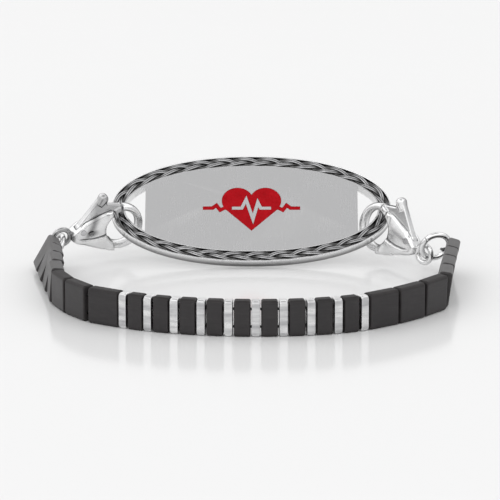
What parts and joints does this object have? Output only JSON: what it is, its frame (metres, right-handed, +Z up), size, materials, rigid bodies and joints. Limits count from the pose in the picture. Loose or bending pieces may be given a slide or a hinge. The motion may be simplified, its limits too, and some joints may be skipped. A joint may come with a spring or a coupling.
{
  "type": "medical alert bracelet",
  "caption": "Medical alert bracelet: an oval steel name plate with a braided border and red emblem, held by lever clasps to a band of tile beads.",
  "frame": {"origin": "middle of the outer box, on the surface that the bracelet lies on", "axes": "+X along the name plate to the right as worn facing out, +Y from the beads at the front to the name plate, +Z up"},
  "size_m": [0.0626, 0.0532, 0.0138],
  "materials": {
    "tile_charcoal": "matte",
    "spacer_satin": "satin",
    "plate_brushed": "brushed",
    "enamel_red": "gloss",
    "braid_steel": "polished",
    "thread_grey": "matte",
    "ring_polished": "polished",
    "pin_steel": "satin",
    "clasp_polished": "polished"
  },
  "bodies": {
    "bracelet": {"name_plate": "plate_brushed", "emblem_inlay": "enamel_red", "braid_strand_1": "braid_steel", "braid_strand_2": "braid_steel", "braid_strand_3": "braid_steel", "clasp_body_left": "clasp_polished", "clasp_pin_left": "pin_steel", "clasp_body_right": "clasp_polished", "clasp_pin_right": "pin_steel", "jump_ring_left": "ring_polished", "jump_ring_right": "ring_polished", "string_thread": "thread_grey", "tile_left_1": "tile_charcoal", "tile_left_2": "tile_charcoal", "tile_left_3": "tile_charcoal", "tile_left_4": "tile_charcoal", "tile_left_5": "tile_charcoal", "tile_left_6": "tile_charcoal", "tile_left_7": "tile_charcoal", "spacer_1": "spacer_satin", "narrow_1": "tile_charcoal", "spacer_2": "spacer_satin", "narrow_2": "tile_charcoal", "spacer_3": "spacer_satin", "narrow_3": "tile_charcoal", "spacer_4": "spacer_satin", "narrow_4": "tile_charcoal", "spacer_5": "spacer_satin", "narrow_5": "tile_charcoal", "spacer_6": "spacer_satin", "narrow_6": "tile_charcoal", "spacer_7": "spacer_satin", "narrow_7": "tile_charcoal", "spacer_8": "spacer_satin", "narrow_8": "tile_charcoal", "spacer_9": "spacer_satin", "narrow_9": "tile_charcoal", "spacer_10": "spacer_satin", "tile_right_1": "tile_charcoal", "tile_right_2": "tile_charcoal", "tile_right_3": "tile_charcoal", "tile_right_4": "tile_charcoal", "tile_right_5": "tile_charcoal", "tile_right_6": "tile_charcoal", "tile_right_7": "tile_charcoal"},
    "lever_left": {"clasp_lever_left": "clasp_polished"},
    "lever_right": {"clasp_lever_right": "clasp_polished"}
  },
  "joints": [
    {"name": "lever_left_press", "type": "hinge", "parent": "bracelet", "child": "lever_left", "pos_m": [-0.02428, 0.01479, 0.00526], "axis": [-0.3787, 0.8735, 0.306], "range_deg": [0, 12], "stiffness_Nm_per_rad": 0.006, "springref_deg": -5.73},
    {"name": "lever_right_press", "type": "hinge", "parent": "bracelet", "child": "lever_right", "pos_m": [0.02404, 0.01241, 0.00412], "axis": [-0.6669, -0.7421, 0.0673], "range_deg": [0, 12], "stiffness_Nm_per_rad": 0.006, "springref_deg": -5.73}
  ]
}
